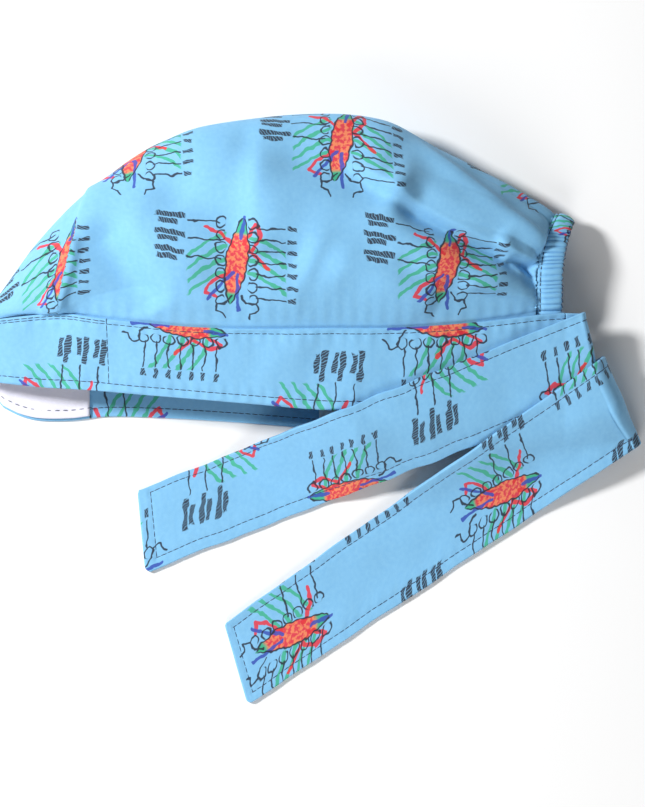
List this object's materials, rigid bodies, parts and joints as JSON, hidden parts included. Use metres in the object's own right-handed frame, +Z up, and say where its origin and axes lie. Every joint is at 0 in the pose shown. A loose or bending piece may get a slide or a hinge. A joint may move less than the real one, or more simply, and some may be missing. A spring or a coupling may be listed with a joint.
{
  "type": "surgical scrub cap",
  "caption": "Tie-back cloth surgical cap lying on its side: puffed crown, forehead band, elastic casing at the nape and folded flat ties.",
  "frame": {"origin": "middle of the cap's box, on the surface it lies on", "axes": "+X from the forehead to the nape, +Y from the open rim to the top of the crown, +Z up, away from the surface it lies on"},
  "size_m": [0.299, 0.2646, 0.0437],
  "materials": {
    "printed_cloth": "plain woven cotton, sky blue with a printed line motif",
    "sweatband_cloth": "white brushed cotton",
    "label_tape": "white woven tape, bare",
    "thread": "dark navy sewing thread"
  },
  "bodies": {
    "root": {"crown_left": "printed_cloth", "crown_right": "printed_cloth", "band": "printed_cloth", "elastic_casing": "printed_cloth", "tie_left": "printed_cloth", "tie_right": "printed_cloth", "sweatband": "sweatband_cloth", "label": "label_tape"}
  },
  "joints": []
}
